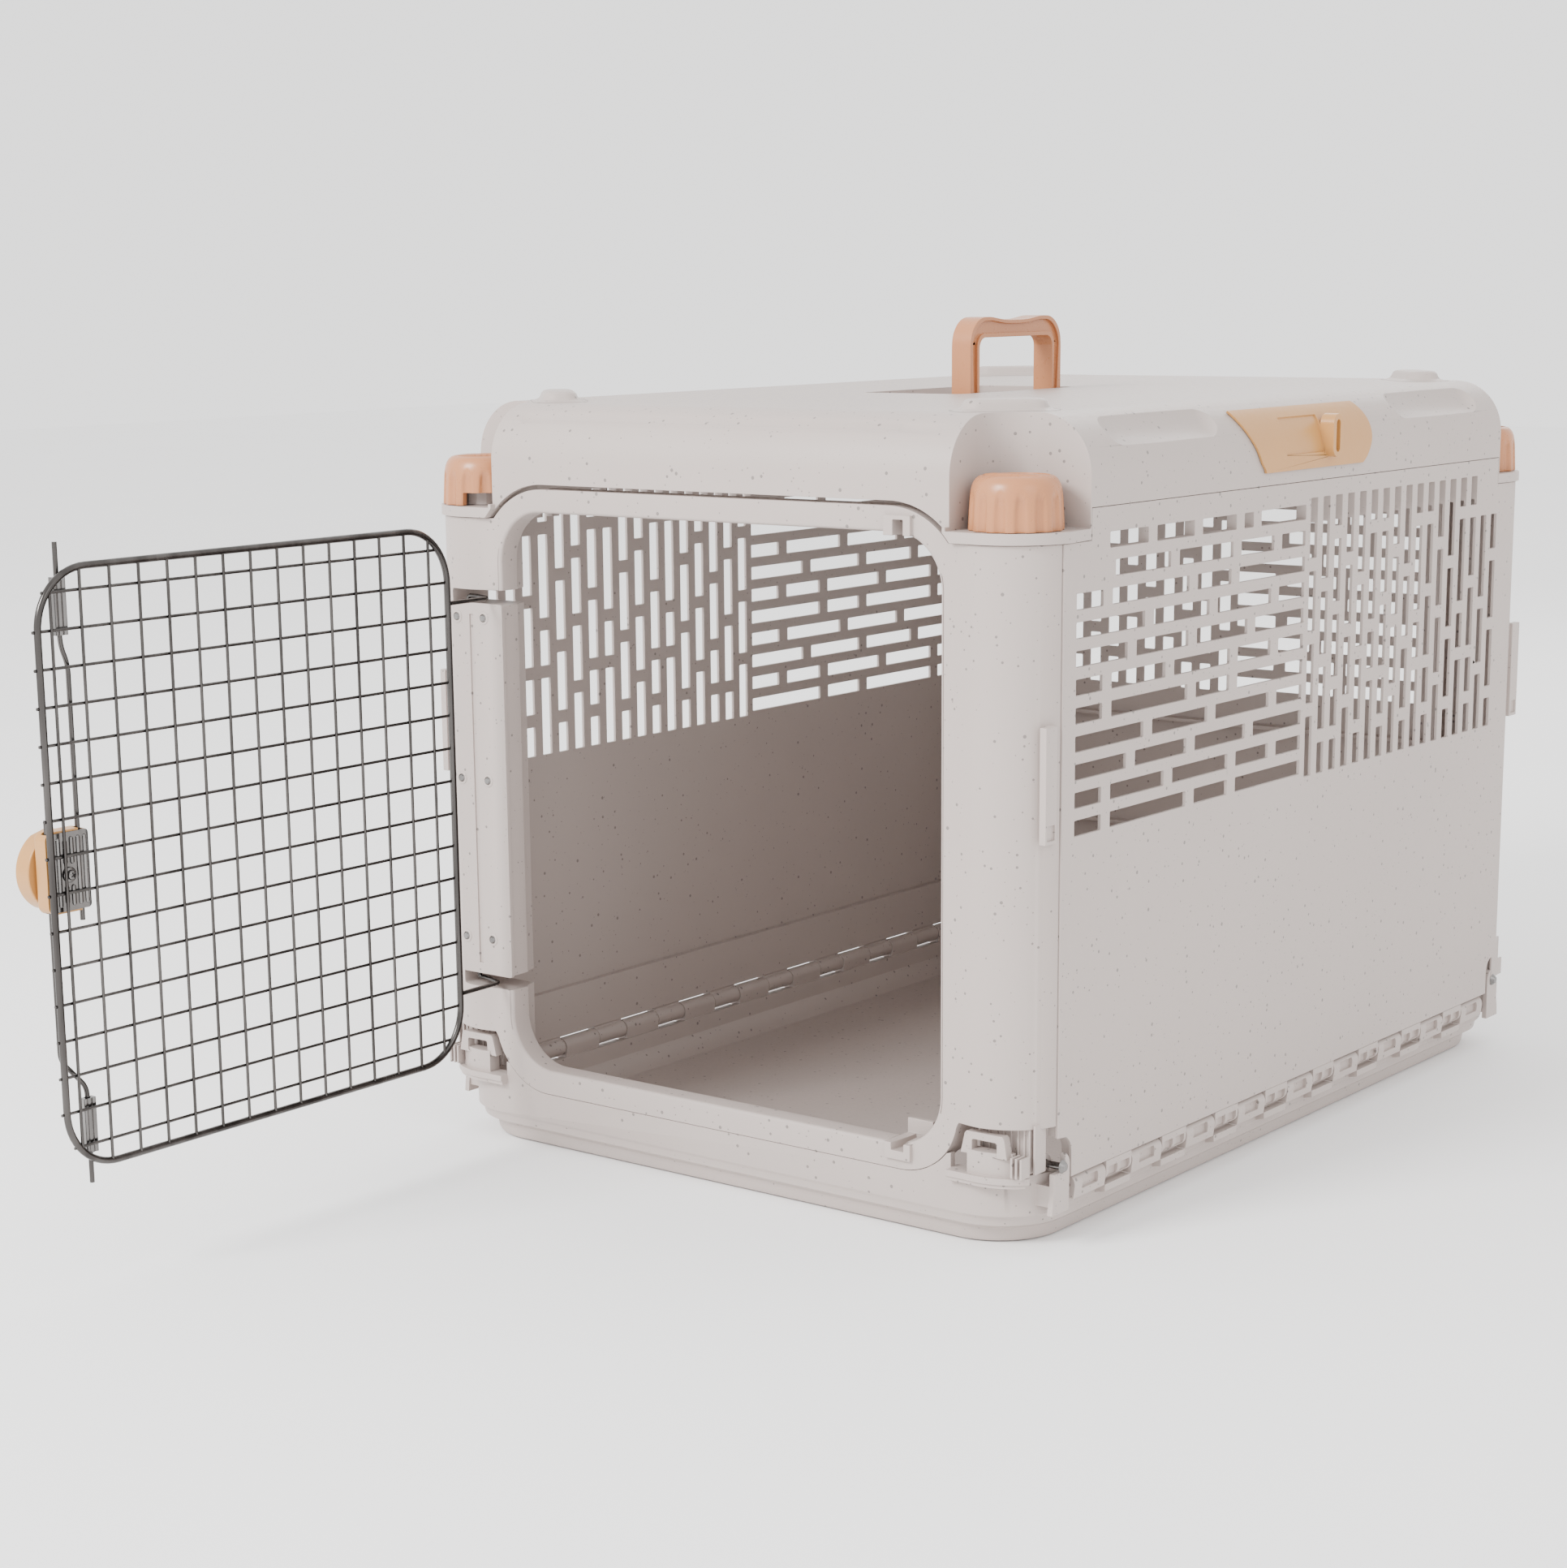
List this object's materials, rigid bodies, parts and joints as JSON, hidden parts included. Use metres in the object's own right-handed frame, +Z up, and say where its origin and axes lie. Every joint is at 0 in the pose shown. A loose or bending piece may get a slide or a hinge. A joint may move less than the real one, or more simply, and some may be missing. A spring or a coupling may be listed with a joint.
{
  "type": "pet transport carrier",
  "caption": "Collapsible pet transport crate with folding grille sides, a lift-off lid held by turn knobs, a folding carry handle and a wire door with a two-rod turn latch.",
  "frame": {"origin": "middle of the tray's flat underside", "axes": "+Z up, the door end faces -Y, +X to the right for someone facing the door"},
  "size_m": [0.674, 1.4075, 0.737],
  "materials": {
    "stone_plastic": "satin moulded polypropylene, warm light grey with fine darker specks",
    "peach_plastic": "satin moulded plastic, soft peach",
    "ochre_plastic": "satin moulded plastic, light ochre",
    "wire_chrome": "bright nickel-chrome plating on drawn wire",
    "plated_steel": "bright zinc-plated steel"
  },
  "bodies": {
    "tray": {"base_tray": "stone_plastic", "cover_screw_1": "plated_steel", "cover_screw_2": "plated_steel", "cover_screw_3": "plated_steel", "cover_screw_4": "plated_steel", "cover_screw_5": "plated_steel", "cover_screw_6": "plated_steel", "front_panel": "stone_plastic", "hinge_cover": "stone_plastic", "hinge_rod_left": "plated_steel", "hinge_rod_right": "plated_steel", "pivot_pin_front_left": "plated_steel", "pivot_pin_front_right": "plated_steel", "pivot_pin_rear_left": "plated_steel", "pivot_pin_rear_right": "plated_steel", "rear_panel": "stone_plastic"},
    "lid": {"lid": "stone_plastic", "handle_pin_front": "plated_steel", "handle_pin_rear": "plated_steel"},
    "handle": {"carry_handle": "peach_plastic"},
    "knob_front_right": {"lock_knob_front_right": "peach_plastic", "lock_cam_front_right": "stone_plastic"},
    "knob_rear_right": {"lock_knob_rear_right": "peach_plastic", "lock_cam_rear_right": "stone_plastic"},
    "knob_rear_left": {"lock_knob_rear_left": "peach_plastic", "lock_cam_rear_left": "stone_plastic"},
    "knob_front_left": {"lock_knob_front_left": "peach_plastic", "lock_cam_front_left": "stone_plastic"},
    "slide_right": {"side_latch_right": "ochre_plastic"},
    "slide_left": {"side_latch_left": "ochre_plastic"},
    "panel_right": {"side_panel_right": "stone_plastic"},
    "panel_left": {"side_panel_left": "stone_plastic"},
    "door": {"door_frame_wire": "wire_chrome", "door_mesh": "wire_chrome", "door_hinge_wire": "wire_chrome", "latch_housing": "ochre_plastic", "latch_back_plate": "plated_steel", "rod_guide_upper": "plated_steel", "rod_guide_lower": "plated_steel"},
    "grip": {"latch_grip": "ochre_plastic", "latch_pinion": "stone_plastic", "latch_screw": "plated_steel", "latch_washer": "plated_steel", "latch_spring": "wire_chrome"},
    "rod_upper": {"latch_rod_upper": "wire_chrome"},
    "rod_lower": {"latch_rod_lower": "wire_chrome"}
  },
  "joints": [
    {"name": "door_hinge", "type": "hinge", "parent": "tray", "child": "door", "pos_m": [-0.279, -0.4435, 0.329], "axis": [0, 0, 1], "range_deg": [-60, 90]},
    {"name": "latch_turn", "type": "hinge", "parent": "door", "child": "grip", "pos_m": [-0.247, -0.9275, 0.329], "axis": [-1, 0, 0], "range_deg": [0, 40]},
    {"name": "upper_rod_slide", "type": "slide", "parent": "door", "child": "rod_upper", "axis": [0, 0, -1], "range_m": [0, 0.0105]},
    {"name": "lower_rod_slide", "type": "slide", "parent": "door", "child": "rod_lower", "axis": [0, 0, 1], "range_m": [0, 0.0105]},
    {"name": "lid_lift", "type": "slide", "parent": "tray", "child": "lid", "axis": [0, 0, 1], "range_m": [0, 0.25]},
    {"name": "handle_fold", "type": "hinge", "parent": "lid", "child": "handle", "pos_m": [0, 0, 0.655], "axis": [0, 1, 0], "range_deg": [-88, 0]},
    {"name": "right_panel_fold", "type": "hinge", "parent": "tray", "child": "panel_right", "pos_m": [0.3175, 0, 0.0475], "axis": [0, 1, 0], "range_deg": [-50, 0]},
    {"name": "left_panel_fold", "type": "hinge", "parent": "tray", "child": "panel_left", "pos_m": [-0.3175, 0, 0.0475], "axis": [0, -1, 0], "range_deg": [-84, 0]},
    {"name": "right_slide", "type": "slide", "parent": "lid", "child": "slide_right", "axis": [0, -1, 0], "range_m": [0, 0.026]},
    {"name": "left_slide", "type": "slide", "parent": "lid", "child": "slide_left", "axis": [0, -1, 0], "range_m": [0, 0.026]},
    {"name": "knob_turn_front_right", "type": "hinge", "parent": "lid", "child": "knob_front_right", "pos_m": [0.283, -0.413, 0.6], "axis": [0, 0, 1], "range_deg": [0, 90]},
    {"name": "knob_turn_rear_right", "type": "hinge", "parent": "lid", "child": "knob_rear_right", "pos_m": [0.283, 0.413, 0.6], "axis": [0, 0, 1], "range_deg": [0, 90]},
    {"name": "knob_turn_rear_left", "type": "hinge", "parent": "lid", "child": "knob_rear_left", "pos_m": [-0.283, 0.413, 0.6], "axis": [0, 0, 1], "range_deg": [0, 90]},
    {"name": "knob_turn_front_left", "type": "hinge", "parent": "lid", "child": "knob_front_left", "pos_m": [-0.283, -0.413, 0.6], "axis": [0, 0, 1], "range_deg": [0, 90]}
  ],
  "couplings": [
    {"joint": "upper_rod_slide", "follows": "latch_turn", "m_per_rad": 0.015},
    {"joint": "lower_rod_slide", "follows": "latch_turn", "m_per_rad": 0.015}
  ]
}
